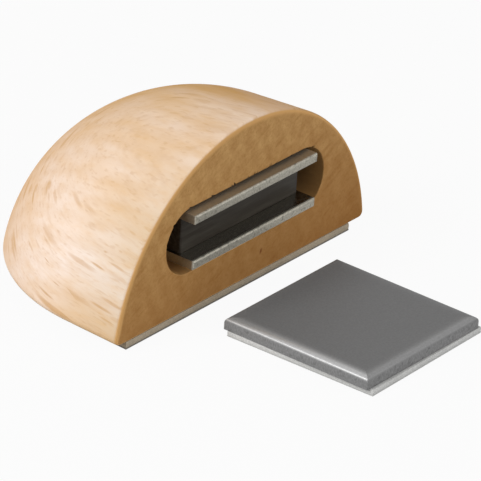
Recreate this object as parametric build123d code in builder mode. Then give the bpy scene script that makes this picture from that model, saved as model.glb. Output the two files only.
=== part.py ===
from build123d import *
from math import cos, radians, sin, sqrt
import os

os.makedirs("parts", exist_ok=True)

# Magnetic door stop: a wooden body with a magnet between two pole plates in its front slot,
# and the steel strike plate that goes on the door. Each stands on its own adhesive pad.
# Millimetres. +Z is up, the magnet faces -Y, and +X is to the right as seen from the front.
# The origin is on the floor, on the body's centre line, at the middle of the floor pad's depth.

# Wooden body: turned round its depth axis, then sawn flat a little above that axis
BODY_RADIUS = 33.4  # radius of the turned blank at the front face
BODY_DEPTH = 42.6  # from the front face to the tip of the dome
SIDE_TAPER = 3.5  # degrees by which the sides close in before the round end
BASE_ABOVE_AXIS = 3.4  # height of the sawn base above the turning axis
BASE_EDGE_BREAK = 0.8  # chamfer along the base's curved outline
FRONT_EDGE_RADIUS = 1.0

# Routed slot in the front face, its ends as round as the cutter
SLOT_LENGTH = 41.6
SLOT_HEIGHT = 12.2
SLOT_DEPTH = 13.0
SLOT_CENTRE_ABOVE_BASE = 13.1
SLOT_EDGE_BREAK = 0.3  # small chamfer round the slot's mouth

# Magnet pack, glued into the slot with its back against the slot's floor
POLE_LENGTH = 32.3
POLE_THICKNESS = 1.65
POLE_STAND_OUT = 2.1  # how far the pole plates stand out of the wood
POLE_EDGE_RADIUS = 0.25
MAGNET_LENGTH = 31.0
MAGNET_THICKNESS = 6.75
MAGNET_SET_BACK = 3.4  # from the pole plates' front edges to the magnet's front face
MAGNET_EDGE_RADIUS = 0.4
GLUE_BED = 1.7  # room for glue between the slot's lower side and the lower plate

# Floor pad, cut to follow the base outline and flush with the front face
FLOOR_PAD_INSET = 3.6  # from the base outline to the pad's curved edge
FLOOR_PAD_SHIFT = -0.6  # the pad is stuck on a little to the left
FLOOR_PAD_THICKNESS = 1.1
FLOOR_LINER_THICKNESS = 0.3

# Strike plate, lying in front of the body
STRIKE_SIDE = 30.0
STRIKE_THICKNESS = 2.15
STRIKE_ROLL_RADIUS = 0.9  # rolled upper edges
STRIKE_DISTANCE = 8.2  # clear floor between the front face and the plate

# Pad on the plate's back, as large as the plate and stuck on slightly askew
STRIKE_PAD_TURN = 1.1  # degrees, anticlockwise from above
STRIKE_PAD_SHIFT_X = 0.4
STRIKE_PAD_SHIFT_Y = -0.4
STRIKE_PAD_THICKNESS = 0.8
STRIKE_LINER_THICKNESS = 0.3

# Heights and places that follow from the sizes above
base_z = FLOOR_LINER_THICKNESS + FLOOR_PAD_THICKNESS
axis_z = base_z - BASE_ABOVE_AXIS
slot_z = base_z + SLOT_CENTRE_ABOVE_BASE
base_half_width = sqrt(BODY_RADIUS**2 - BASE_ABOVE_AXIS**2)
pad_half_width = base_half_width - FLOOR_PAD_INSET
pad_depth = BODY_DEPTH - FLOOR_PAD_INSET
front_y = -pad_depth / 2
slot_floor_y = front_y + SLOT_DEPTH
pole_front_y = front_y - POLE_STAND_OUT
magnet_front_y = pole_front_y + MAGNET_SET_BACK
lower_pole_z = slot_z - SLOT_HEIGHT / 2 + GLUE_BED
magnet_z = lower_pole_z + POLE_THICKNESS
upper_pole_z = magnet_z + MAGNET_THICKNESS
strike_y = front_y - STRIKE_DISTANCE - STRIKE_SIDE / 2
strike_z = STRIKE_LINER_THICKNESS + STRIKE_PAD_THICKNESS


def draw_half_dome(half_width, depth):
    """Draw the +X half of a dome outline: a tapered side and a round end, closed along the centre line."""
    taper = radians(SIDE_TAPER)
    end_radius = (half_width * cos(taper) - depth * sin(taper)) / (1 - sin(taper))
    end_centre = (0, front_y + depth - end_radius)
    round_end = CenterArc(end_centre, end_radius, SIDE_TAPER, 90 - SIDE_TAPER)
    Polyline(round_end @ 1, (0, front_y), (half_width, front_y), round_end @ 0)


# Wooden body
with BuildPart() as wooden_body:
    with BuildSketch(Plane.XY.offset(axis_z)):
        with BuildLine():
            draw_half_dome(BODY_RADIUS, BODY_DEPTH)
        make_face()
    revolve(axis=Axis((0, 0, axis_z), (0, -1, 0)), revolution_arc=180)
    split(bisect_by=Plane.XY.offset(base_z), keep=Keep.TOP)
    base_outline = wooden_body.faces().sort_by(Axis.Z)[0].edges().sort_by(Axis.Y)
    chamfer(base_outline[1:], BASE_EDGE_BREAK)
    fillet(wooden_body.faces().sort_by(Axis.Y)[0].edges(), FRONT_EDGE_RADIUS)
    with BuildSketch(Plane.XZ.offset(-front_y)):
        with Locations((0, slot_z)):
            SlotOverall(SLOT_LENGTH, SLOT_HEIGHT)
    extrude(amount=-SLOT_DEPTH, mode=Mode.SUBTRACT)
    slot_mouth = wooden_body.faces().sort_by(Axis.Y)[0].inner_wires()[0]
    chamfer(slot_mouth.edges(), SLOT_EDGE_BREAK)
wooden_body.part.label = "wooden_body"
export_step(wooden_body.part, "parts/wooden_body.step")

# Pole plates: two equal steel strips, one under and one over the magnet
for name, bottom_z in (("lower_pole_plate", lower_pole_z), ("upper_pole_plate", upper_pole_z)):
    with BuildPart() as pole_plate:
        with BuildSketch(Plane((0, slot_floor_y, bottom_z))):
            Rectangle(POLE_LENGTH, slot_floor_y - pole_front_y, align=(Align.CENTER, Align.MAX))
        extrude(amount=POLE_THICKNESS)
        fillet(pole_plate.faces().sort_by(Axis.Y)[0].edges(), POLE_EDGE_RADIUS)
    pole_plate.part.label = name
    export_step(pole_plate.part, f"parts/{name}.step")

# Bar magnet
with BuildPart() as bar_magnet:
    with BuildSketch(Plane((0, slot_floor_y, magnet_z))):
        Rectangle(MAGNET_LENGTH, slot_floor_y - magnet_front_y, align=(Align.CENTER, Align.MAX))
    extrude(amount=MAGNET_THICKNESS)
    fillet(bar_magnet.edges().filter_by(Axis.Z), MAGNET_EDGE_RADIUS)
bar_magnet.part.label = "bar_magnet"
export_step(bar_magnet.part, "parts/bar_magnet.step")

# Floor pad and its release liner, cut together
floor_layers = (
    ("floor_pad_liner", 0, FLOOR_LINER_THICKNESS),
    ("floor_pad", FLOOR_LINER_THICKNESS, FLOOR_PAD_THICKNESS),
)
for name, bottom_z, thickness in floor_layers:
    with BuildPart() as floor_layer:
        with BuildSketch(Plane((FLOOR_PAD_SHIFT, 0, bottom_z))):
            with BuildLine():
                draw_half_dome(pad_half_width, pad_depth)
            make_face()
            mirror(about=Plane.YZ)
        extrude(amount=thickness)
    floor_layer.part.label = name
    export_step(floor_layer.part, f"parts/{name}.step")

# Strike plate
with BuildPart() as strike_plate:
    with BuildSketch(Plane((0, strike_y, strike_z))):
        Rectangle(STRIKE_SIDE, STRIKE_SIDE)
    extrude(amount=STRIKE_THICKNESS)
    fillet(strike_plate.faces().sort_by(Axis.Z)[-1].edges(), STRIKE_ROLL_RADIUS)
strike_plate.part.label = "strike_plate"
export_step(strike_plate.part, "parts/strike_plate.step")

# Strike pad and its release liner, cut together
strike_layers = (
    ("strike_pad_liner", 0, STRIKE_LINER_THICKNESS),
    ("strike_pad", STRIKE_LINER_THICKNESS, STRIKE_PAD_THICKNESS),
)
for name, bottom_z, thickness in strike_layers:
    with BuildPart() as strike_layer:
        with BuildSketch(Plane((STRIKE_PAD_SHIFT_X, strike_y + STRIKE_PAD_SHIFT_Y, bottom_z))):
            Rectangle(STRIKE_SIDE, STRIKE_SIDE, rotation=STRIKE_PAD_TURN)
        extrude(amount=thickness)
    strike_layer.part.label = name
    export_step(strike_layer.part, f"parts/{name}.step")
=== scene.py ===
"""Dress a magnetic door stop: a turned beech body with its magnet pack, and a steel strike plate."""
import math

import bmesh
import bpy
import numpy as np
from bpy.props import FloatProperty, FloatVectorProperty, PointerProperty
from bpy.types import Operator, Panel, PropertyGroup
from mathutils import Matrix, Vector


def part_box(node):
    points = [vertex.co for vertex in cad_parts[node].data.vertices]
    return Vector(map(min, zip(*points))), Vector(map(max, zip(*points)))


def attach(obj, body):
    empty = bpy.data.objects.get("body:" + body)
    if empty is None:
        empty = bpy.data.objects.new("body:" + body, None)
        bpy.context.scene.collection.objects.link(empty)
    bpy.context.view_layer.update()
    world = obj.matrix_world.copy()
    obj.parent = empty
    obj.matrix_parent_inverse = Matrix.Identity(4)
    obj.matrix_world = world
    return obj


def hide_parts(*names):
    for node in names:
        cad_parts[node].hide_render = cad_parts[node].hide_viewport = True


bl_info = {
    "name": "Magnetic door stop",
    "version": (1, 0, 0),
    "blender": (4, 5, 0),
    "location": "3D View > Sidebar > Door stop",
    "description": "Dresses the door stop's solids with modelled surfaces and procedural materials",
    "category": "Object",
}

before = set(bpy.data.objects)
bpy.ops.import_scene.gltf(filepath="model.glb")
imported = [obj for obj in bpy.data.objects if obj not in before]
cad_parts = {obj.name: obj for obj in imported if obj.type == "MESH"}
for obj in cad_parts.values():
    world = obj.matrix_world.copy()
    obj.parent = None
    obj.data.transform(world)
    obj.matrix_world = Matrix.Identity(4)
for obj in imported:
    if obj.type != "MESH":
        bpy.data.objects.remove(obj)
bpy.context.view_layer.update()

MM = 0.001
MERGE_DISTANCE = 0.0001 * MM
SHARP_ANGLE = math.radians(32)

# How finely the surfaces are drawn
ARC_STEPS = 150
BASE_STEPS = 24
CORNER_STEPS = 10
EDGE_STEPS = 9
SIDE_STEPS = 20
REAR_STEPS = 72
SLOT_STEPS = 12
FLAT_RING = 0.1 * MM  # narrow ring that keeps a face's shading flat up to its edge
LEAST_ROUND = 0.02 * MM  # smallest rounding of a corner that is drawn in

# Rows across the front face: shares of the way out from the slot, then rows as far in from the outline as
# given, with how square the fibres are cut there
FACE_SHARES = np.array([0, 0.03, 0.35, 0.7])[:, None]
FACE_MARGIN = 4 * MM
BAND_ROWS = np.array([0.8, 0.6, 0.4, 0.2, 0.06])[:, None] * MM
BAND_GRAIN = np.array([1, 0.92, 0.8, 0.68, 0.56])[:, None]

# Fibres torn out along the slot's mouth: the length in millimetres and the start of three waves, what their
# sum has to pass, and the deepest notch
TORN_WAVES = ((5.3, 0), (1.9, 1), (0.83, 2))
TORN_ABOVE = 1.2
TORN_DEPTH = 0.6 * MM

# How the wood lies: the turn of its fibres, the way along which its tone changes, with its growth and with
# painted light, the way its ray planes face, how far back along that way it is palest and painted most lit,
# and the way in which the end grain darkens
FIBRE_TURN = (math.radians(2.7), math.radians(-26), 0)
GROWTH_AND_LIGHT_WAY = (0.898, 0, 0.44)
RAY_FACING = (-0.438, -0.047, 0.898)
PALEST_AND_LIT_GROWTH = 22 * MM
END_DARKENING = (0.15, 0, -0.99)

# Growth rings: their spacing in millimetres. A wave's band repeats every tau / 20 of its scale
RING_SPACING = 3.4
WAVE_SCALE = math.tau / 20

# Rays: cell size along the rays, along the fibres and across the rays in millimetres, how rare the rays are,
# and the largest share of a cell that one fills
RAYS = (((9, 16, 1.3), 0.3, 0.46), ((6, 11, 0.8), 0.22, 0.4), ((5, 9, 1.9), 0.45, 0.36))

# Pin knot in the front face: its middle, how it leans, and how far it reaches along its three axes
KNOT_PLACE = Vector((4.7, -19.5, 5.2)) * MM
KNOT_TURN = (0, math.radians(20), 0)
KNOT_REACH = Vector((0.45, 1.5, 0.8)) * MM

# Where most values of a noise lie, a range whose ends run out smoothly, and a mapping to cells of a real size
NOISE_SPAN = {"From Min": 0.3, "From Max": 0.7}
SMOOTH = {"interpolation_type": "SMOOTHSTEP"}
SIZED = {"vector_type": "TEXTURE"}

# Kinds of node that come up most
BUMP = "ShaderNodeBump"
MAP_RANGE = "ShaderNodeMapRange"
MAPPING = "ShaderNodeMapping"
MATH = "ShaderNodeMath"
MIX = "ShaderNodeMix"
NOISE = "ShaderNodeTexNoise"
OUTPUT = "ShaderNodeOutputMaterial"
PRINCIPLED = "ShaderNodeBsdfPrincipled"
VECTOR_MATH = "ShaderNodeVectorMath"

# Lamps, a large one on the left and one in front: where each stands, its side, and the point that both face
KEY_LAMP = Vector((-608, 180, 474)) * MM, 420 * MM
FILL_LAMP = Vector((220, -720, 360)) * MM, 500 * MM
LAMP_AIM = Vector((0, -10, 8)) * MM
WHITE = (1, 1, 1, 1)
FLOOR_GREY = (0.55, 0.55, 0.55, 1)  # what the floor gives back of the light

# The photograph's view: where the camera stands, how it is turned and how long its lens is
CAMERA_PLACE = Vector((-822.206, -643.692, 548.074)) * MM
CAMERA_AZIMUTH = math.radians(-52.76)
CAMERA_ELEVATION = math.radians(27.579)
CAMERA_ROLL = math.radians(3.441)
CAMERA_SENSOR = 36.0
CAMERA_LENS = 524.48
CAMERA_CLIP = (0.05, 20)


def srgb(text):
    """A colour written as sRGB hex, as linear red, green and blue."""
    values = np.array([int(text[i : i + 2], 16) for i in (1, 3, 5)]) / 255
    return tuple(np.where(values <= 0.04045, values / 12.92, ((values + 0.055) / 1.055) ** 2.4).tolist())


def number(name, description, default, **kind):
    """A number property of the given kind."""
    return FloatProperty(name=name, description=description, default=default, **kind)


def length(name, description, millimetres):
    """A length property whose default is given in millimetres."""
    return number(name, description, millimetres * MM, unit="LENGTH", precision=5)


def angle(name, description, degrees):
    """An angle property whose default is given in degrees."""
    return number(name, description, math.radians(degrees), subtype="ANGLE")


def colour(name, description, text):
    """A colour property whose default is given as sRGB hex."""
    return FloatVectorProperty(
        name=name, description=description, default=srgb(text), subtype="COLOR", size=3, min=0, max=1
    )


class BodySizes(PropertyGroup):
    """Sizes of the turned wooden body that its bounding box doesn't give."""

    blank_radius: length("Blank radius", "Radius of the sanded blank at the front face", 33.36)
    depth: length("Depth", "From the front face to the tip of the turned blank", 42.6)
    side_taper: angle("Side taper", "Angle by which the sides close in before the round end", 3.5)
    base_above_axis: length("Base above axis", "Height of the sawn base above the turning axis", 3.4)
    base_edge: length("Base edge", "Radius of the sanded edge round the base", 1.3)
    front_edge: length("Front edge", "Radius of the edge round the front face", 0.7)
    base_front_edge: length("Base front edge", "Height of the edge between the front face and the base", 0.25)
    slot_length: length("Slot length", "Length of the routed slot over its round ends", 41.6)
    slot_height: length("Slot height", "Height of the routed slot", 12.2)
    slot_centre: length("Slot centre", "Height of the slot's middle above the base", 13.1)
    slot_depth: length("Slot depth", "Depth of the routed slot", 13.0)
    slot_break: length("Slot edge break", "Chamfer round the slot's mouth", 0.08)


class MetalSizes(PropertyGroup):
    """Edge sizes of the magnet pack and the strike plate."""

    pole_edge: length("Pole edge", "Radius of the pole plates' front edges", 0.38)
    magnet_edge: length("Magnet edge", "Radius of the magnet's upright edges", 0.4)
    strike_roll: length("Strike roll", "Radius of the strike plate's rolled upper edges", 0.9)
    strike_corner: length("Strike corner", "Radius of the strike plate's upright corners", 0.12)
    burr: length("Burr", "Radius left on edges that were only deburred", 0.08)


class PadSizes(PropertyGroup):
    """How the foam pads are cut and laid."""

    tuck: length("Tuck", "How far the foam's cut edge draws in at its glued faces", 0.06)
    strike_turn: angle("Strike pad turn", "How far the strike plate's pad is turned from square", 1.1)
    strike_side: length("Strike pad side", "Side of the square pad under the strike plate", 30.0)


class FinishColours(PropertyGroup):
    """Colours of the finishes."""

    # Painted light and shade, partly the wood's own drift: the side grain is pale where the lamp on the left
    # falls most and warm where the body is in shade
    beech_pale_and_lit: colour("Beech, light", "Side grain on the paler left side", "#FBEADE")
    beech_warm_and_shaded: colour("Beech, warm", "Side grain on the warmer right side", "#E1B270")
    # Painted shade: browner side grain at the far right, where little light falls
    beech_heart_and_shade: colour("Beech, heart", "Browner side grain at the far right", "#B87F3A")
    # Painted shade: a darker, greyer tone on the left flank near the front edge
    beech_painted_shade: colour("Beech, dull", "Side grain dulled by handling near the front edge", "#B5A57C")
    beech_fleck: colour("Ray fleck", "Ray flecks and pores in the side grain", "#C8985E")
    beech_edge: colour("Edge band", "Fibres cut at a slant round the front face", "#DCAA6C")
    beech_end: colour("End grain", "End grain of the front face", "#D1A56B")
    beech_end_dark: colour("End grain, dark", "Pores and late wood in the end grain", "#905A20")
    beech_knot: colour("Pin knot", "Small knot in the end grain below the slot", "#6E2F0C")
    # Partly painted shade: the slot is browned by the cutter, and darker deeper in, on its right wall and
    # along its upper edge
    beech_routed_and_shade: colour("Routed slot", "Wood browned by the cutter inside the slot", "#70593F")
    ferrite: colour("Ferrite", "Ground ferrite magnet", "#27211A")
    pole_steel: colour("Pole steel", "Zinc-plated pole plates", "#9E9A8E")
    pole_edge: colour("Pole steel, edge", "Sheared front edges of the pole plates", "#9C988C")
    strike_steel: colour("Strike steel", "Satin strike plate", "#6A6A6A")
    strike_edge: colour("Strike steel, edge", "Sheared sides of the strike plate", "#828282")
    # Painted highlight: a lighter tint on the strike plate's rolled edges, most on the left, where the lamp
    # falls
    strike_rubbed: colour("Strike steel, rubbed", "Rubbed rolled edges of the strike plate", "#B4B4B4")
    strike_foam: colour("Strike foam", "Adhesive foam under the strike plate", "#D8D8D6")
    # Painted shade: the foam under the body is darker than the same foam under the strike plate
    floor_foam: colour("Floor foam", "Adhesive foam under the body", "#B9AC97")
    strike_liner: colour("Strike liner", "Release paper under the strike plate", "#BCBCBA")
    # Painted shade: a dark liner line along the body's foot
    floor_liner: colour("Floor liner", "Release paper under the body", "#6E665C")


class StageSettings(PropertyGroup):
    """Light levels and the floor."""

    floor_side: length("Floor side", "Side of the square floor", 4000)
    key_power: number("Key power", "Power of the lamp on the left", 4.7, subtype="POWER")
    fill_power: number("Fill power", "Power of the lamp in front", 2.5, subtype="POWER")
    sky_level: number("Sky level", "Brightness of the soft light all round", 0.29)
    floor_glow: number(
        "Floor glow", "Share of plain white in the floor as it is seen", 0.94, subtype="FACTOR", min=0, max=1
    )


def skin(name, loops, ends=(0, -1), **attributes):
    """Turn stacked closed loops, an array of levels x points x 3, into one closed mesh object.

    Neighbouring loops are joined by quads, and the loops named by ends are closed by a fan to their middle.
    Points that fall together, as at a pole or along a seam, are merged. Attributes are levels x points.
    """
    levels, points = loops.shape[:2]
    ends = list(ends)
    index = np.arange(levels * points).reshape(levels, points)
    ahead = np.roll(index, -1, axis=1)
    quads = np.stack([index[:-1], ahead[:-1], ahead[1:], index[1:]], axis=-1).reshape(-1, 4)
    middle = np.repeat(levels * points + np.arange(len(ends)), points)
    fans = np.stack([index[ends].ravel(), ahead[ends].ravel(), middle], axis=-1)
    coords = np.concatenate([loops.reshape(-1, 3), loops[ends].mean(axis=1)])

    mesh = bpy.data.meshes.new(name)
    mesh.from_pydata(coords.tolist(), [], quads.tolist() + fans.tolist())
    for key, values in attributes.items():
        values = np.broadcast_to(values, (levels, points))
        layer = mesh.attributes.new(key, "FLOAT", "POINT")
        layer.data.foreach_set("value", np.concatenate([values.ravel(), values[ends].mean(axis=1)]))

    work = bmesh.new()
    work.from_mesh(mesh)
    bmesh.ops.remove_doubles(work, verts=work.verts, dist=MERGE_DISTANCE)
    bmesh.ops.recalc_face_normals(work, faces=work.faces)
    work.to_mesh(mesh)
    work.free()
    mesh.shade_smooth()
    mesh.set_sharp_from_angle(angle=SHARP_ANGLE)
    piece = bpy.data.objects.new(name, mesh)
    bpy.context.scene.collection.objects.link(piece)
    return piece


def seat(piece, material, solid):
    """Give a piece its material and let it stand for its solid."""
    piece.data.materials.append(material)
    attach(piece, "root")
    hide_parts(solid)


def mirrored(x, y, z):
    """Close half loops: the right half as given, then its mirror image back to the start."""
    back = slice(-2, 0, -1)
    whole = [np.concatenate([half, sign * half[:, back]], axis=1) for half, sign in ((x, -1), (y, 1), (z, 1))]
    return np.stack(whole, axis=-1)


def half_section(radius, drop, corner):
    """Half of a body section, from its top down the right side to the middle of the base, sections x points.

    It is the circle of the turned blank round its axis, a round that touches the circle and the base line,
    and the base line, a drop above the axis. Returns x and the height above the axis.
    """
    radius, drop, corner = (np.reshape(np.asarray(value, float), (-1, 1)) for value in (radius, drop, corner))
    corner_z = drop + corner
    corner_x = np.sqrt((radius - corner) ** 2 - corner_z**2)
    meeting = np.arctan2(corner_z, corner_x)
    side = np.pi / 2 + (meeting - np.pi / 2) * np.linspace(0, 1, ARC_STEPS)
    turn = meeting - (np.pi / 2 + meeting) * np.linspace(0, 1, CORNER_STEPS)[1:]
    inward = np.linspace(1, 0, BASE_STEPS)[1:]
    x = [radius * np.cos(side), corner_x + corner * np.cos(turn), corner_x * inward]
    z = [radius * np.sin(side), corner_z + corner * np.sin(turn), drop + 0 * corner_x * inward]
    return np.concatenate(x, axis=1), np.concatenate(z, axis=1)


def round_end_radius(half_width, depth, taper):
    """Radius of a dome's round end, the one that touches both tapered sides and the far end."""
    return (half_width * math.cos(taper) - depth * math.sin(taper)) / (1 - math.sin(taper))


def end_sphere(sizes, front):
    """Radius of the body's round end and the depth of its middle."""
    radius = round_end_radius(sizes.blank_radius, sizes.depth, sizes.side_taper)
    return radius, front + sizes.depth - radius


def right_share(loop):
    """How far right each point of a loop lies, as a share: there the end grain's brown reaches the edge."""
    return np.clip((loop[:, 0] - 2 * MM) / (16 * MM), 0, 1)


def turned_side(sizes, low, high):
    """Loops of the body's side from the front edge to the middle of the round end, and their end grain.

    The front edge is a quarter circle, and the side a cone that closes in by the taper until it runs into the
    sphere of the round end. Each loop is the body's section at its depth.
    """
    front, taper = low.y, sizes.side_taper
    end_radius, end_y = end_sphere(sizes, front)
    turn = np.linspace(0, np.pi / 2, EDGE_STEPS)
    side_y = np.linspace(front + sizes.front_edge, end_y, SIDE_STEPS)[1:]
    y = np.concatenate([front + sizes.front_edge * (1 - np.cos(turn)), side_y])
    inset = np.concatenate([sizes.front_edge * (1 - np.sin(turn)), 0 * side_y])
    cone = sizes.blank_radius - (y - front) * math.tan(taper)
    sphere = np.sqrt(end_radius**2 - np.minimum((y - end_y) ** 2, end_radius**2))
    radius = np.where(y < end_y + end_radius * math.sin(taper), cone, sphere)
    base_lift = inset * sizes.base_front_edge / sizes.front_edge
    x, z = half_section(radius - inset, sizes.base_above_axis + base_lift, sizes.base_edge - inset)
    loops = mirrored(x, y[:, None] + 0 * x, low.z - sizes.base_above_axis + z)
    # Towards the top, the edge keeps the side grain's paler colour almost to the face: a painted highlight
    # where the light catches the edge
    climb = np.clip((loops[..., 2] - low.z) / (high.z - low.z), 0, 1)
    grain = 0.5 * np.concatenate([np.cos(turn), 0 * side_y])[:, None] ** (1.2 + 3 * climb)
    return loops, grain * (1 + 0.7 * right_share(loops[0]))


def rear_end(sizes, low):
    """Loops of the body's round end, and their end grain.

    Half a section of the sphere is swung a quarter turn about the upright line through its middle.
    """
    end_radius, end_y = end_sphere(sizes, low.y)
    swing = np.linspace(0, np.pi / 2, REAR_STEPS)[1:, None]
    x, z = half_section(end_radius, sizes.base_above_axis, sizes.base_edge)
    height = low.z - sizes.base_above_axis + z + 0 * swing
    loops = mirrored(x * np.cos(swing), end_y + x * np.sin(swing), height)
    return loops, 0.25 * np.clip((loops[..., 1] - end_y) / end_radius, 0, 1) ** 0.7


def slot_reach(way, half_run, radius):
    """Distance from the slot's middle to its outline at each angle: the straight sides, or the round ends."""
    across, up = np.abs(np.cos(way)), np.abs(np.sin(way))
    straight = radius / np.maximum(up, 1e-9)
    rounded = half_run * across + np.sqrt(np.maximum(radius**2 - (half_run * up) ** 2, 0))
    return np.where(straight * across <= half_run, straight, rounded)


def slot_and_face(sizes, low, edge):
    """Loops from the slot's floor to the loop of the front edge, with their end grain and their browning,
    partly painted shade.

    Every loop lies on rays from the slot's middle. It reaches the slot's wall, then the mouth, and then a
    share of the way from the mouth to the front edge.
    """
    front = low.y
    middle_z = low.z + sizes.slot_centre
    way = np.arctan2(edge[:, 2] - middle_z, edge[:, 0])
    outline = np.hypot(edge[:, 0], edge[:, 2] - middle_z)
    half_run = (sizes.slot_length - sizes.slot_height) / 2
    wall = slot_reach(way, half_run, sizes.slot_height / 2)
    mouth = slot_reach(way, half_run, sizes.slot_height / 2 + sizes.slot_break)

    # The cutter tore a few fibres out along the slot's upper edge
    upper = np.clip(3 * np.sin(way), 0, 1)
    run = mouth * np.cos(way) / MM
    torn = sum(np.sin(math.tau * run / wave + start) for wave, start in TORN_WAVES)
    notch = TORN_DEPTH * np.clip(torn - TORN_ABOVE, 0, 1) * upper
    mouth = mouth + notch
    walls = np.tile(wall, (SLOT_STEPS, 1))
    walls[-1] += 0.8 * notch

    wall_y = np.linspace(front + sizes.slot_depth, front + sizes.slot_break, SLOT_STEPS)
    margin = BAND_ROWS * np.minimum(1, (outline - mouth) / FACE_MARGIN)
    face = np.concatenate([mouth + (outline - FACE_MARGIN - mouth) * FACE_SHARES, outline - margin])
    reach = np.concatenate([[0.97 * wall], walls, face])
    y = np.concatenate([wall_y[:1], wall_y, np.full(len(face), front)])
    loops = np.stack([reach * np.cos(way), y[:, None] + 0 * reach, middle_z + reach * np.sin(way)], axis=-1)

    # Painted light: the slot's wall is less brown and lighter low on the left, where light reaches into it;
    # and the band follows the turned edge, not the sawn base
    grain = np.ones_like(reach)
    grain[1 : SLOT_STEPS + 1] = 0.8 - 0.5 * np.clip(np.cos(way + 2.4), 0, 1)
    sawn = 1 - np.clip((edge[:, 2] - low.z) / (2 * MM), 0, 1)
    grain[-len(BAND_ROWS) :] = BAND_GRAIN + (1 - BAND_GRAIN) * np.maximum(sawn, 0.8 * right_share(edge))

    # The cutter browned the slot, and painted shade darkens it more with depth and on its right wall, and
    # paints its torn upper edge dark
    scorch_and_shade = np.clip(0.1 + (y - wall_y[-1]) / (10 * MM), 0, 0.85)
    scorch_and_shade[-len(face) :] = 0
    browned = scorch_and_shade[:, None] * (0.55 + 0.45 * np.cos(way))
    browned[-len(face)] = 0.55 * upper
    return loops, grain, browned


def rectangle_loops(width, depth, corner, inset):
    """x and y of a rectangle with round corners, drawn in by each inset: a quarter circle at each corner."""
    inset = np.reshape(inset, (-1, 1))
    rounding = np.maximum(corner - inset, LEAST_ROUND)
    quarter = np.linspace(0, np.pi / 2, CORNER_STEPS)
    turn = (np.arange(4)[:, None] * np.pi / 2 + quarter).ravel()
    side_x = np.repeat([1, -1, -1, 1], CORNER_STEPS)
    side_y = np.repeat([1, 1, -1, -1], CORNER_STEPS)
    x = side_x * (width / 2 - inset - rounding) + rounding * np.cos(turn)
    y = side_y * (depth / 2 - inset - rounding) + rounding * np.sin(turn)
    return x, y


def dome_loops(half_width, depth, taper, inset):
    """x and y of half a pad outline drawn in by each inset: straight front, tapered side and round end."""
    inset = np.reshape(inset, (-1, 1))
    half_width = half_width - inset
    depth = depth - inset
    end_radius = round_end_radius(half_width, depth, taper)
    turn = np.linspace(taper, np.pi / 2, ARC_STEPS)
    front = np.linspace(0, 1, BASE_STEPS)
    end_x, end_y = end_radius * np.cos(turn), depth - end_radius + end_radius * np.sin(turn)
    x = np.concatenate([half_width * front, end_x], axis=1)
    y = np.concatenate([inset + 0 * half_width * front, end_y], axis=1)
    return x, y


def edge_profile(low, high, low_round, high_round, rows=(), rings=(FLAT_RING,)):
    """Level and inset along a slab's edge, from one face to the other.

    A quarter circle at each face with the upright side between, which takes extra rows at the given levels,
    a narrow ring on the low face and rings on the high face, as far in from the quarter circle as given.
    """
    turn = np.linspace(0, np.pi / 2, EDGE_STEPS)
    rows, rings = np.array(rows, float), np.array(rings)
    low_level, low_inset = low + low_round * (1 - np.cos(turn)), low_round * (1 - np.sin(turn))
    high_level, high_inset = high - high_round * (1 - np.sin(turn)), high_round * (1 - np.cos(turn))
    level = [[low], low_level, rows, high_level, high + 0 * rings]
    inset = [[low_round + FLAT_RING], low_inset, 0 * rows, high_inset, high_round + rings]
    return np.concatenate(level), np.concatenate(inset)


def node(tree, kind, inputs=None, **settings):
    """Add a node with its settings, and link each input that is a socket or set it to the given value."""
    made = tree.nodes.new(kind)
    for name, value in settings.items():
        setattr(made, name, value)
    for key, value in (inputs or {}).items():
        if isinstance(value, bpy.types.NodeSocket):
            tree.links.new(value, made.inputs[key])
        else:
            made.inputs[key].default_value = value
    return made


def blank_tree(owner):
    """Switch a material or world to nodes and empty its tree."""
    owner.use_nodes = True
    owner.node_tree.nodes.clear()
    return owner.node_tree


def blank_material(name):
    """A new material, its empty tree, and the coordinates that its patterns read."""
    material = bpy.data.materials.new(name)
    tree = blank_tree(material)
    return material, tree, node(tree, "ShaderNodeTexCoord").outputs


def opaque(rgb):
    """A colour property's value with the alpha that a colour socket needs."""
    return (*rgb, 1.0)


def laid_over(tree, surface, layers, **settings):
    """Lay each layer's tint over the surface, none to most of it as its pattern goes from low to high."""
    for pattern, low, high, most, tint in layers:
        share = node(
            tree, MAP_RANGE, {"Value": pattern, "From Min": low, "From Max": high, "To Max": most}, **settings
        ).outputs[0]
        surface = node(tree, MIX, {0: share, 6: surface, 7: tint}, data_type="RGBA").outputs[2]
    return surface


def seen_directly(tree):
    """1 for what the camera sees, also in a reflection or through glass, and 0 for light on its way."""
    path = node(tree, "ShaderNodeLightPath").outputs
    seen = path["Is Camera Ray"]
    for ray in ("Is Glossy Ray", "Is Transmission Ray"):
        seen = node(tree, MATH, {0: seen, 1: path[ray]}, operation="MAXIMUM").outputs[0]
    return seen


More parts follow.
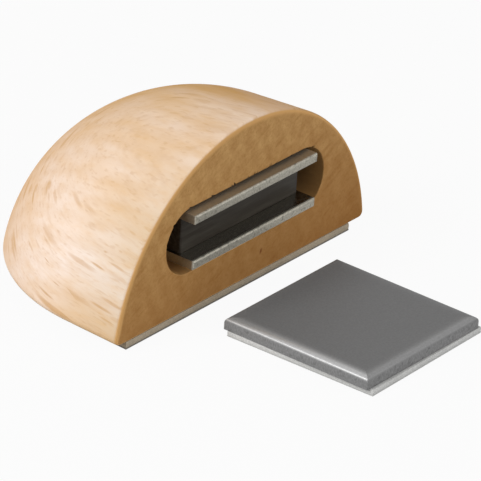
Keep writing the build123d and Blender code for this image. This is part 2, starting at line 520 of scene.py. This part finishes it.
def turned_beech(colours):
    """Beech, turned, sanded and left matt.

    The eye sees pale pinkish side grain with fine streaks along the fibres and short darker dashes where the
    rays are cut, and a browner, speckled end grain on the front. The pattern is solid: fibres run along the
    depth, and the rays lie in planes turned about that axis. The blank is palest on its left and brown at the
    far right, partly its own drift and partly painted light and shade. Painted shade darkens the left flank
    near the front edge, and the slot is browned by the cutter and darkened further with painted shade.
    """
    material, tree, coords = blank_material("Beech turned and sanded")
    place = coords["Object"]
    in_wood = {"Vector": place, "Rotation": FIBRE_TURN}

    # Noises with their grain size along the rays, along the fibres and across the rays, in millimetres.
    # Real pores are under 0.1 mm, so they are drawn 0.28 mm wide to show
    noises = {
        "streak": ((2.2, 6, 0.35), 2),
        "drift": ((9, 26, 9), 2),
        "mottle": ((1.6, 5, 1.2), 3),
        "pore": ((0.7, 2.4, 0.28), 1),
        "speck": ((0.5, 0.5, 0.5), 2),
        "blotch": ((2.6, 6, 2.6), 3),
    }
    noise = {}
    for name, (cell, detail) in noises.items():
        turned = node(tree, MAPPING, {**in_wood, "Scale": Vector(cell) * MM}, **SIZED).outputs[0]
        noise[name] = node(
            tree, NOISE, {"Vector": turned, "Scale": 1, "Detail": detail, "Roughness": 0.6}
        ).outputs["Fac"]
    pore = node(
        tree, MAP_RANGE, {"Value": noise["pore"], "From Min": 0.56, "From Max": 0.74}, **SMOOTH
    ).outputs[0]

    # Growth rings, square to the rays
    turned = node(tree, MAPPING, {**in_wood, "Scale": Vector((RING_SPACING,) * 3) * MM}, **SIZED).outputs[0]
    ring = node(
        tree, "ShaderNodeTexWave",
        {"Vector": turned, "Scale": WAVE_SCALE, "Distortion": 3.0, "Detail": 3, "Detail Scale": 0.5},
        wave_type="BANDS", bands_direction="X", wave_profile="SIN",
    ).outputs["Fac"]

    # Rays: thin discs, some of them dark enough to show. They are fainter where the surface lies along them
    flat = node(
        tree, VECTOR_MATH, {0: coords["Normal"], 1: RAY_FACING}, operation="DOT_PRODUCT"
    ).outputs["Value"]
    faint = node(
        tree, MAP_RANGE, {"Value": flat, "From Min": 0.75, "From Max": 0.97, "To Min": 1, "To Max": 0.6}
    ).outputs[0]
    fleck = None
    for cell, rarity, largest in RAYS:
        turned = node(tree, MAPPING, {**in_wood, "Scale": Vector(cell) * MM}, **SIZED).outputs[0]
        ray = node(tree, "ShaderNodeTexVoronoi", {"Vector": turned, "Scale": 1})
        chance = node(tree, "ShaderNodeSeparateColor", {"Color": ray.outputs["Color"]}).outputs
        radius = node(
            tree, MAP_RANGE,
            {"Value": chance["Red"], "From Min": rarity, "From Max": 1, "To Min": 0.08, "To Max": largest},
        ).outputs[0]
        depth = node(tree, MATH, {0: ray.outputs["Distance"], 1: radius}, operation="DIVIDE").outputs[0]
        disc = node(tree, MAP_RANGE, {"Value": depth, "From Min": 1, "From Max": 0.4}, **SMOOTH).outputs[0]
        strength = node(tree, MAP_RANGE, {"Value": chance["Green"], "To Min": 0.35, "To Max": 1}).outputs[0]
        for factor in (strength, faint):
            disc = node(tree, MATH, {0: disc, 1: factor}, operation="MULTIPLY").outputs[0]
        if fleck:
            disc = node(tree, MATH, {0: fleck, 1: disc}, operation="MAXIMUM").outputs[0]
        fleck = disc

    # Zones of the side grain, by the distance from the palest wood and by the place along the body: from
    # where to where each runs, in millimetres, and its values there. The tone warms with that distance, and
    # sooner on the palest wood's other side. It is partly the wood's own drift and partly painted light and
    # shade: palest where the lamp on the left lights the body most, warmer and browner where the body is in
    # shade
    growth_and_light = node(tree, VECTOR_MATH, {0: place, 1: GROWTH_AND_LIGHT_WAY}, operation="DOT_PRODUCT").outputs["Value"]
    away = node(tree, MATH, {0: growth_and_light, 1: PALEST_AND_LIT_GROWTH}, operation="ADD").outputs[0]
    along = node(tree, "ShaderNodeSeparateXYZ", {0: place}).outputs["Y"]
    zones = {
        "heart_and_shade": (away, 0, 56, 0, 1),
        "beyond": (away, 0, -11, 0, 1),
        "above": (away, 8, 26, 0, 1),
        "left": (away, 32, 46, 0.8, 0),
        "near": (along, -5, -19, 0, 1),
    }
    zone = {}
    for name, (where, start, stop, first, last) in zones.items():
        zone[name] = node(
            tree, MAP_RANGE,
            {"Value": where, "From Min": start * MM, "From Max": stop * MM, "To Min": first, "To Max": last},
        ).outputs[0]

    # Near the front face the crown's tone evens out to a third, and painted shade darkens the left flank near
    # the front edge
    crown = node(tree, MATH, {0: zone["above"], 1: zone["left"]}, operation="MULTIPLY").outputs[0]
    even = node(tree, MATH, {0: zone["near"], 1: crown}, operation="MULTIPLY").outputs[0]
    heart_and_shade = node(tree, MIX, {0: even, 2: zone["heart_and_shade"], 3: 0.33}, data_type="FLOAT").outputs[0]
    heart_and_shade = node(tree, MATH, {0: heart_and_shade, 1: zone["beyond"]}, operation="MAXIMUM").outputs[0]
    flank = node(tree, MATH, {0: 1, 1: zone["above"]}, operation="SUBTRACT").outputs[0]
    painted_shade_front = node(tree, MATH, {0: zone["near"], 1: flank}, operation="MULTIPLY").outputs[0]
    cloud = node(
        tree, MAP_RANGE,
        {"Value": noise["drift"], "From Min": 0.35, "From Max": 0.7, "To Min": -0.2, "To Max": 0.3},
    ).outputs[0]
    tone = node(tree, MATH, {0: heart_and_shade, 1: cloud}, operation="ADD", use_clamp=True).outputs[0]

    # The end grain darkens downwards and a little to the right
    low_right = node(
        tree, VECTOR_MATH, {0: place, 1: END_DARKENING}, operation="DOT_PRODUCT"
    ).outputs["Value"]

    # A pin knot below the slot, fading out from its middle
    knot_place = node(
        tree, MAPPING,
        {"Vector": place, "Location": KNOT_PLACE, "Rotation": KNOT_TURN, "Scale": KNOT_REACH}, **SIZED
    ).outputs[0]
    knot_way = node(tree, VECTOR_MATH, {0: knot_place}, operation="LENGTH").outputs["Value"]
    knot = node(tree, MAP_RANGE, {"Value": knot_way, "From Min": 1, "From Max": 0.15}, **SMOOTH).outputs[0]

    # Layers: the pattern, from where to where it counts, its largest share and its tint
    warm, fleck_tint = opaque(colours.beech_warm_and_shaded), opaque(colours.beech_fleck)
    end_dark = opaque(colours.beech_end_dark)
    side_layers = (
        # Painted light and shade, partly the wood's drift: the tone runs from pale where the lamp on the left
        # falls most to warm in shade
        (tone, 0, 1, 1.0, warm),
        # Painted shade: browner at the far right, where little light falls
        (away, 36 * MM, 49 * MM, 0.55, opaque(colours.beech_heart_and_shade)),
        # Painted shade: darker and greyer on the left flank near the front edge
        (painted_shade_front, 0, 1, 0.28, opaque(colours.beech_painted_shade)),
        (noise["mottle"], 0.42, 0.75, 0.32, warm),
        (ring, 0, 1, 0.08, fleck_tint),
        (noise["streak"], 0.5, 0.8, 0.2, fleck_tint),
        (pore, 0, 1, 0.22, fleck_tint),
        (fleck, 0, 1, 0.65, fleck_tint),
    )
    end_layers = (
        (low_right, -26 * MM, 4 * MM, 0.66, end_dark),
        (noise["mottle"], 0.4, 0.75, 0.18, end_dark),
        (ring, 0, 1, 0.1, end_dark),
        (noise["blotch"], 0.35, 0.72, 0.3, end_dark),
        (noise["speck"], 0.45, 0.75, 0.28, end_dark),
        (fleck, 0, 1, 0.25, end_dark),
        (knot, 0, 1, 0.75, opaque(colours.beech_knot)),
    )
    surface = laid_over(tree, opaque(colours.beech_pale_and_lit), side_layers)
    end = laid_over(tree, opaque(colours.beech_end), end_layers)

    # Where the fibres start to be cut across, the wood is golden, and where they are cut square, it is brown
    squareness = node(tree, "ShaderNodeAttribute", attribute_name="end_grain").outputs["Fac"]
    cuts = ((squareness, 0.05, 0.35, 1, opaque(colours.beech_edge)), (squareness, 0.5, 1, 1, end))
    surface = laid_over(tree, surface, cuts, **SMOOTH)
    # Browning by the cutter and painted shade inside the slot
    browned = node(tree, "ShaderNodeAttribute", attribute_name="routed").outputs["Fac"]
    surface = node(
        tree, MIX, {0: browned, 6: surface, 7: opaque(colours.beech_routed_and_shade)}, data_type="RGBA"
    ).outputs[2]
    rough = node(
        tree, MAP_RANGE, {"Value": noise["streak"], **NOISE_SPAN, "To Min": 0.5, "To Max": 0.65}
    ).outputs[0]
    bump = node(tree, BUMP, {"Strength": 0.15, "Distance": 0.04 * MM, "Height": pore}, invert=True).outputs[0]
    shader = node(
        tree, PRINCIPLED,
        {"Base Color": surface, "Roughness": rough, "Normal": bump, "IOR": 1.5, "Specular IOR Level": 0.05},
    )
    node(tree, OUTPUT, {"Surface": shader.outputs[0]})
    return material


def ground_ferrite(colours):
    """Ferrite, pressed and ground: nearly black and matt, with faint grinding streaks along its length."""
    material, tree, coords = blank_material("Ferrite ground")
    # Streaks 9 mm long, drawn 0.6 mm wide to show
    drawn = node(
        tree, MAPPING, {"Vector": coords["Object"], "Scale": (9 * MM, 0.6 * MM, 0.6 * MM)}, **SIZED
    ).outputs[0]
    streak = node(tree, NOISE, {"Vector": drawn, "Scale": 1, "Detail": 4, "Roughness": 0.6}).outputs["Fac"]
    lift = node(
        tree, MAP_RANGE, {"Value": streak, "From Min": 0.4, "From Max": 0.75, "To Max": 0.1}
    ).outputs[0]
    surface = node(
        tree, MIX, {0: lift, 6: opaque(colours.ferrite), 7: opaque(colours.pole_steel)}, data_type="RGBA"
    ).outputs[2]
    rough = node(tree, MAP_RANGE, {"Value": streak, **NOISE_SPAN, "To Min": 0.42, "To Max": 0.6}).outputs[0]
    bump = node(tree, BUMP, {"Strength": 0.25, "Distance": 0.03 * MM, "Height": streak}).outputs[0]
    shader = node(
        tree, PRINCIPLED,
        {"Base Color": surface, "Roughness": rough, "Normal": bump, "IOR": 1.7, "Specular IOR Level": 0.12},
    )
    node(tree, OUTPUT, {"Surface": shader.outputs[0]})
    return material


def plated_steel(name, face, edge, rubbed, grain, bite=1.0, gloss=0.5):
    """Plated steel: a fine-grained face, a sheared edge with upright streaks and specks, and rubbed edges
    that can carry a painted highlight.

    Face, edge and rubbed each give a tint, how metallic it is and its roughness. A dull plating film is less
    metallic. The attribute cut_edge is 1 on the sheared edge, and the rubbed attribute is 1 where handling
    has changed the plating, and on the strike plate also where its lighter tint paints a highlight. Grain is
    the width of the streaks in millimetres, bite is how deep the shear left them, and gloss is the specular
    level of the film.
    """
    material, tree, coords = blank_material(name)
    place = coords["Object"]
    zones = [
        (node(tree, "ShaderNodeAttribute", attribute_name=key).outputs["Fac"], zone)
        for key, zone in (("cut_edge", edge), ("rubbed", rubbed))
    ]
    cut = zones[0][0]

    # The face's grain is drawn 0.35 mm wide to show, and the specks are 0.7 mm wide
    satin = node(
        tree, NOISE, {"Vector": place, "Scale": 1 / (0.35 * MM), "Detail": 2, "Roughness": 0.7}
    ).outputs["Fac"]
    upright = node(
        tree, MAPPING, {"Vector": place, "Scale": Vector((grain, grain, 2 * grain)) * MM}, **SIZED
    ).outputs[0]
    shear = node(tree, NOISE, {"Vector": upright, "Scale": 1, "Detail": 2, "Roughness": 0.6}).outputs["Fac"]
    speck = node(tree, NOISE, {"Vector": place, "Scale": 1 / (0.7 * MM), "Detail": 2}).outputs["Fac"]

    # Tones multiply the tints: the face by its grain, the edge by its streaks and specks
    face_tone = node(
        tree, MAP_RANGE, {"Value": satin, **NOISE_SPAN, "To Min": 0.91, "To Max": 1.09}
    ).outputs[0]
    swing = 0.34 * bite
    streaks = node(
        tree, MAP_RANGE, {"Value": shear, **NOISE_SPAN, "To Min": 1 - swing, "To Max": 1 + swing}
    ).outputs[0]
    specks = node(
        tree, MAP_RANGE,
        {"Value": speck, "From Min": 0.56, "From Max": 0.7, "To Min": 1, "To Max": 1 - 0.38 * bite}, **SMOOTH
    ).outputs[0]
    edge_tone = node(tree, MATH, {0: streaks, 1: specks}, operation="MULTIPLY").outputs[0]
    tone = node(tree, MIX, {0: cut, 2: face_tone, 3: edge_tone}, data_type="FLOAT").outputs[0]

    # Each zone's tint, metal and roughness over the face's
    tint, metal, rough = opaque(face[0]), face[1], face[2]
    for share, (zone_tint, zone_metal, zone_rough) in zones:
        tint = node(tree, MIX, {0: share, 6: tint, 7: opaque(zone_tint)}, data_type="RGBA").outputs[2]
        metal = node(tree, MIX, {0: share, 2: metal, 3: zone_metal}, data_type="FLOAT").outputs[0]
        rough = node(tree, MIX, {0: share, 2: rough, 3: zone_rough}, data_type="FLOAT").outputs[0]
    surface = node(tree, MIX, {0: 1.0, 6: tint, 7: tone}, data_type="RGBA", blend_type="MULTIPLY").outputs[2]
    height = node(tree, MIX, {0: cut, 2: satin, 3: shear}, data_type="FLOAT").outputs[0]
    strength = node(tree, MAP_RANGE, {"Value": cut, "To Min": 0.05, "To Max": 0.4}).outputs[0]
    bump = node(tree, BUMP, {"Strength": strength, "Distance": 0.04 * MM, "Height": height}).outputs[0]
    shader = node(
        tree, PRINCIPLED,
        {
            "Base Color": surface, "Roughness": rough, "Normal": bump, "Metallic": metal,
            "Specular IOR Level": gloss,
        },
    )
    node(tree, OUTPUT, {"Surface": shader.outputs[0]})
    return material


def cut_foam(name, tint):
    """Adhesive polyethylene foam, knife-cut: matt, with open cells of about 0.3 mm along its edge."""
    material, tree, coords = blank_material(name)
    place = coords["Object"]
    cell = node(tree, "ShaderNodeTexVoronoi", {"Vector": place, "Scale": 1 / (0.3 * MM)}).outputs["Distance"]
    # Slow changes of tone, about 4 mm long
    drift = node(tree, NOISE, {"Vector": place, "Scale": 1 / (4 * MM), "Detail": 2}).outputs["Fac"]
    tone = node(
        tree, MAP_RANGE, {"Value": cell, "From Min": 0.1, "From Max": 0.7, "To Min": 0.84, "To Max": 1.05}
    ).outputs[0]
    slow = node(tree, MAP_RANGE, {"Value": drift, **NOISE_SPAN, "To Min": 0.94, "To Max": 1.04}).outputs[0]
    tone = node(tree, MATH, {0: tone, 1: slow}, operation="MULTIPLY").outputs[0]
    surface = node(
        tree, MIX, {0: 1.0, 6: opaque(tint), 7: tone}, data_type="RGBA", blend_type="MULTIPLY"
    ).outputs[2]
    bump = node(tree, BUMP, {"Strength": 0.5, "Distance": 0.06 * MM, "Height": cell}).outputs[0]
    shader = node(
        tree, PRINCIPLED,
        {"Base Color": surface, "Roughness": 0.85, "Normal": bump, "IOR": 1.45, "Specular IOR Level": 0.25},
    )
    node(tree, OUTPUT, {"Surface": shader.outputs[0]})
    return material


def liner_paper(name, tint):
    """Release liner of siliconed paper: smooth and slightly shiny, with faint fibres 1.5 mm long."""
    material, tree, coords = blank_material(name)
    fibre = node(
        tree, NOISE, {"Vector": coords["Object"], "Scale": 1 / (1.5 * MM), "Detail": 5, "Roughness": 0.7}
    ).outputs["Fac"]
    tone = node(tree, MAP_RANGE, {"Value": fibre, **NOISE_SPAN, "To Min": 0.88, "To Max": 1.08}).outputs[0]
    surface = node(
        tree, MIX, {0: 1.0, 6: opaque(tint), 7: tone}, data_type="RGBA", blend_type="MULTIPLY"
    ).outputs[2]
    rough = node(tree, MAP_RANGE, {"Value": fibre, **NOISE_SPAN, "To Min": 0.4, "To Max": 0.55}).outputs[0]
    shader = node(tree, PRINCIPLED, {"Base Color": surface, "Roughness": rough, "IOR": 1.45})
    node(tree, OUTPUT, {"Surface": shader.outputs[0]})
    return material


class DOORSTOP_OT_add_body(Operator):
    """Make the turned beech body with its routed slot."""

    bl_idname = "door_stop.add_body"
    bl_label = "Wooden body"

    def execute(self, context):
        sizes = context.scene.door_stop_body
        low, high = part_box("wooden_body")
        outer, outer_grain = turned_side(sizes, low, high)
        rear, rear_grain = rear_end(sizes, low)
        inner, inner_grain, browned = slot_and_face(sizes, low, outer[0])
        body = skin(
            "beech_body",
            np.concatenate([inner, outer, rear]),
            ends=(0,),
            end_grain=np.concatenate([inner_grain, outer_grain, rear_grain]),
            routed=np.concatenate([browned, 0 * outer_grain, 0 * rear_grain]),
        )
        seat(body, turned_beech(context.scene.door_stop_colours), "wooden_body")
        return {"FINISHED"}


class DOORSTOP_OT_add_pole_plates(Operator):
    """Make the two pole plates, strips whose sheared front edges stand out of the wood."""

    bl_idname = "door_stop.add_pole_plates"
    bl_label = "Pole plates"

    def execute(self, context):
        sizes = context.scene.door_stop_metal
        colours = context.scene.door_stop_colours
        material = plated_steel(
            "Steel strip sheared and zinc-plated",
            face=(colours.pole_steel, 1.0, 0.27),
            edge=(colours.pole_edge, 0.7, 0.5),
            rubbed=(colours.pole_steel, 0.7, 0.36),
            grain=0.2,
        )
        for name in ("lower_pole_plate", "upper_pole_plate"):
            low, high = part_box(name)
            centre, size = (low + high) / 2, high - low
            # The sheared edge's look starts at the first of two rows just behind the rounded front edge
            rows = size.y - sizes.pole_edge - np.array([0.25, 0.05]) * MM
            level, inset = edge_profile(0, size.y, sizes.burr, sizes.pole_edge, rows)
            x, z = rectangle_loops(size.x, size.z, sizes.burr, inset)
            depth = high.y - level[:, None] + 0 * x
            cut = np.clip((level - rows[0]) / (0.3 * MM), 0, 1)
            loops = np.stack([centre.x + x, depth, centre.z + z], axis=-1)
            # The ends are duller than the faces, and the upper plate is dulled by handling
            widest = np.abs(x[inset.argmin()])
            ends = widest > widest.max() - 0.3 * sizes.burr
            cut = np.maximum(cut[:, None], 0.45 * ends)
            dulled = (1 - cut) * (name == "upper_pole_plate")
            strip = skin(name + "_strip", loops, cut_edge=cut, rubbed=dulled)
            seat(strip, material, name)
        return {"FINISHED"}


class DOORSTOP_OT_add_magnet(Operator):
    """Make the bar magnet between the pole plates."""

    bl_idname = "door_stop.add_magnet"
    bl_label = "Bar magnet"

    def execute(self, context):
        sizes = context.scene.door_stop_metal
        low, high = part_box("bar_magnet")
        centre, size = (low + high) / 2, high - low
        level, inset = edge_profile(low.z, high.z, sizes.burr, sizes.burr)
        x, y = rectangle_loops(size.x, size.y, sizes.magnet_edge, inset)
        loops = np.stack([centre.x + x, centre.y + y, level[:, None] + 0 * x], axis=-1)
        material = ground_ferrite(context.scene.door_stop_colours)
        seat(skin("ferrite_bar", loops), material, "bar_magnet")
        return {"FINISHED"}


class DOORSTOP_OT_add_strike_plate(Operator):
    """Make the strike plate with its rolled upper edges."""

    bl_idname = "door_stop.add_strike_plate"
    bl_label = "Strike plate"

    def execute(self, context):
        sizes = context.scene.door_stop_metal
        colours = context.scene.door_stop_colours
        material = plated_steel(
            "Steel plate rolled and satin-plated",
            face=(colours.strike_steel, 0.1, 0.55),
            edge=(colours.strike_edge, 0.1, 0.55),
            rubbed=(colours.strike_rubbed, 0.6, 0.34),
            grain=0.25,
            bite=0.65,
            gloss=0.25,
        )
        low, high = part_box("strike_plate")
        centre, size = (low + high) / 2, high - low
        rings = np.array([0.1, 0.4, 0.8, 1.3, 1.9]) * MM
        level, inset = edge_profile(low.z, high.z, sizes.burr, sizes.strike_roll, rings=rings)
        x, y = rectangle_loops(size.x, size.y, sizes.strike_corner, inset)
        loops = np.stack([centre.x + x, centre.y + y, level[:, None] + 0 * x], axis=-1)
        # The sheared side's look ends in the first quarter of the roll, where the rubbed edge's begins:
        # metal, roughness and a painted highlight that fades onto the top face
        rolled = inset / (0.25 * sizes.strike_roll)
        cut = np.clip(1 - rolled, 0, 1)
        highlight_fade = np.minimum(rolled, (sizes.strike_roll + rings[-1] - inset) / rings[-1])
        rubbed = np.clip(highlight_fade, 0, 1) ** 2.5 * (level > centre.z)
        # The rolled edges are rubbed and carry a painted highlight, most on the left, where the lamp falls,
        # and less on the front
        across, along = x[0] / np.abs(x[0]).max(), y[0] / np.abs(y[0]).max()
        highlight_side = np.where(-across > np.abs(along), 1, np.where(-along > np.abs(across), 0.35, 0.1))
        plate = skin("strike_plate_rolled", loops, cut_edge=cut[:, None], rubbed=rubbed[:, None] * highlight_side)
        seat(plate, material, "strike_plate")
        return {"FINISHED"}


class DOORSTOP_OT_add_pads(Operator):
    """Make the foam pads under the body and the strike plate, each with its release liner."""

    bl_idname = "door_stop.add_pads"
    bl_label = "Pads and liners"

    def execute(self, context):
        pads = context.scene.door_stop_pads
        taper = context.scene.door_stop_body.side_taper
        burr = context.scene.door_stop_metal.burr
        colours = context.scene.door_stop_colours
        turn = pads.strike_turn
        layers = (
            # Painted shade: the foam and liner under the body are darker than the same foam and liner under
            # the strike plate
            ("floor_pad", "floor_foam_dome", "floor_foam", "Polyethylene foam knife-cut, floor, painted shade"),
            ("floor_pad_liner", "floor_liner_dome", "floor_liner", "Grey release paper siliconed, painted shade"),
            ("strike_pad", "strike_foam_square", "strike_foam", "Polyethylene foam knife-cut, strike"),
            ("strike_pad_liner", "strike_liner_square", "strike_liner", "White release paper siliconed"),
        )
        for name, piece_name, slot, finish in layers:
            low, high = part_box(name)
            centre = (low + high) / 2
            level, inset = edge_profile(low.z, high.z, burr, burr)
            foam = name.endswith("pad")
            if foam:
                # The knife-cut edge stands full at mid height and draws in to the glued faces
                share = np.concatenate([[0], np.linspace(0, 1, 2 * EDGE_STEPS), [1]])
                level = low.z + (high.z - low.z) * share
                inset = pads.tuck * (1 - np.sin(np.pi * share))
                inset[[0, -1]] += pads.tuck
            if name.startswith("floor"):
                x, y = dome_loops((high.x - low.x) / 2, high.y - low.y, taper, inset)
                loops = mirrored(x, low.y + y, level[:, None] + 0 * x) + np.array([centre.x, 0, 0])
            else:
                u, v = rectangle_loops(pads.strike_side, pads.strike_side, burr, inset)
                x = centre.x + u * math.cos(turn) - v * math.sin(turn)
                y = centre.y + u * math.sin(turn) + v * math.cos(turn)
                loops = np.stack([x, y, level[:, None] + 0 * x], axis=-1)
            piece = skin(piece_name, loops)
            seat(piece, (cut_foam if foam else liner_paper)(finish, getattr(colours, slot)), name)
        return {"FINISHED"}


class DOORSTOP_OT_add_stage(Operator):
    """Make the white floor, the soft lamps, the surroundings and the camera."""

    bl_idname = "door_stop.add_stage"
    bl_label = "Stage"

    def execute(self, context):
        scene = context.scene
        settings = scene.door_stop_stage
        scene.view_settings.view_transform = "Standard"

        # White surroundings for what the camera and reflections see, a softer grey as the light all round
        world = bpy.data.worlds.new("Soft studio")
        scene.world = world
        tree = blank_tree(world)
        level = node(
            tree, MAP_RANGE, {"Value": seen_directly(tree), "To Min": settings.sky_level, "To Max": 1.0}
        ).outputs[0]
        sky = node(tree, "ShaderNodeBackground", {"Color": WHITE, "Strength": level})
        node(tree, "ShaderNodeOutputWorld", {"Surface": sky.outputs[0]})

        # Floor: matt white that takes the shadow, mixed with plain white where it is seen
        floor_paint = bpy.data.materials.new("White paper sweep")
        tree = blank_tree(floor_paint)
        share = node(
            tree, MATH, {0: seen_directly(tree), 1: settings.floor_glow}, operation="MULTIPLY"
        ).outputs[0]
        paper = node(tree, "ShaderNodeBsdfDiffuse", {"Color": FLOOR_GREY})
        glow = node(tree, "ShaderNodeEmission", {"Color": WHITE, "Strength": 1.0})
        mixed = node(tree, "ShaderNodeMixShader", {0: share, 1: paper.outputs[0], 2: glow.outputs[0]})
        node(tree, OUTPUT, {"Surface": mixed.outputs[0]})
        half = settings.floor_side / 2
        corners = [(-half, -half, 0), (half, -half, 0), (half, half, 0), (-half, half, 0)]
        mesh = bpy.data.meshes.new("floor")
        mesh.from_pydata(corners, [], [(0, 1, 2, 3)])
        mesh.materials.append(floor_paint)
        floor = bpy.data.objects.new("floor", mesh)
        scene.collection.objects.link(floor)

        lamps = (
            ("key_lamp", *KEY_LAMP, settings.key_power),
            ("fill_lamp", *FILL_LAMP, settings.fill_power),
        )
        for name, place, side, power in lamps:
            light = bpy.data.lights.new(name, "AREA")
            light.shape = "SQUARE"
            light.size = side
            light.energy = power
            lamp = bpy.data.objects.new(name, light)
            lamp.location = place
            lamp.rotation_mode = "QUATERNION"
            lamp.rotation_quaternion = (LAMP_AIM - place).to_track_quat("-Z", "Y")
            scene.collection.objects.link(lamp)

        # Camera: its back axis from azimuth and elevation, then rolled about that axis
        sine, cosine = math.sin(CAMERA_AZIMUTH), math.cos(CAMERA_AZIMUTH)
        level_out = math.cos(CAMERA_ELEVATION)
        back = Vector((sine * level_out, -cosine * level_out, math.sin(CAMERA_ELEVATION)))
        right = Vector((cosine, sine, 0))
        up = back.cross(right)
        rolled_right = right * math.cos(CAMERA_ROLL) + up * math.sin(CAMERA_ROLL)
        rolled_up = up * math.cos(CAMERA_ROLL) - right * math.sin(CAMERA_ROLL)
        lens = bpy.data.cameras.new("camera")
        lens.sensor_width = CAMERA_SENSOR
        lens.lens = CAMERA_LENS
        lens.clip_start, lens.clip_end = CAMERA_CLIP
        camera = bpy.data.objects.new("camera", lens)
        turn = Matrix((rolled_right, rolled_up, back)).transposed()
        camera.matrix_world = Matrix.Translation(CAMERA_PLACE) @ turn.to_4x4()
        scene.collection.objects.link(camera)
        scene.camera = camera
        return {"FINISHED"}


OPERATORS = (
    DOORSTOP_OT_add_body,
    DOORSTOP_OT_add_pole_plates,
    DOORSTOP_OT_add_magnet,
    DOORSTOP_OT_add_strike_plate,
    DOORSTOP_OT_add_pads,
    DOORSTOP_OT_add_stage,
)
SETTINGS = {
    "door_stop_body": BodySizes,
    "door_stop_metal": MetalSizes,
    "door_stop_pads": PadSizes,
    "door_stop_colours": FinishColours,
    "door_stop_stage": StageSettings,
}


class DOORSTOP_PT_panel(Panel):
    """Sizes, colours and pieces of the door stop."""

    bl_idname = "DOORSTOP_PT_panel"
    bl_label = "Door stop"
    bl_space_type = "VIEW_3D"
    bl_region_type = "UI"
    bl_category = "Door stop"

    def draw(self, context):
        for name, group in SETTINGS.items():
            box = self.layout.box()
            for key in group.__annotations__:
                box.prop(getattr(context.scene, name), key)
        for operator in OPERATORS:
            self.layout.operator(operator.bl_idname)


def register():
    for group in (*SETTINGS.values(), *OPERATORS, DOORSTOP_PT_panel):
        bpy.utils.register_class(group)
    for name, group in SETTINGS.items():
        setattr(bpy.types.Scene, name, PointerProperty(type=group))


def unregister():
    for name in SETTINGS:
        delattr(bpy.types.Scene, name)
    for group in (DOORSTOP_PT_panel, *reversed(OPERATORS), *reversed(SETTINGS.values())):
        bpy.utils.unregister_class(group)


def main():
    """Register the add-on, and make every piece and the stage."""
    register()
    bpy.ops.door_stop.add_body()
    bpy.ops.door_stop.add_pole_plates()
    bpy.ops.door_stop.add_magnet()
    bpy.ops.door_stop.add_strike_plate()
    bpy.ops.door_stop.add_pads()
    bpy.ops.door_stop.add_stage()


if __name__ == "__main__":
    main()
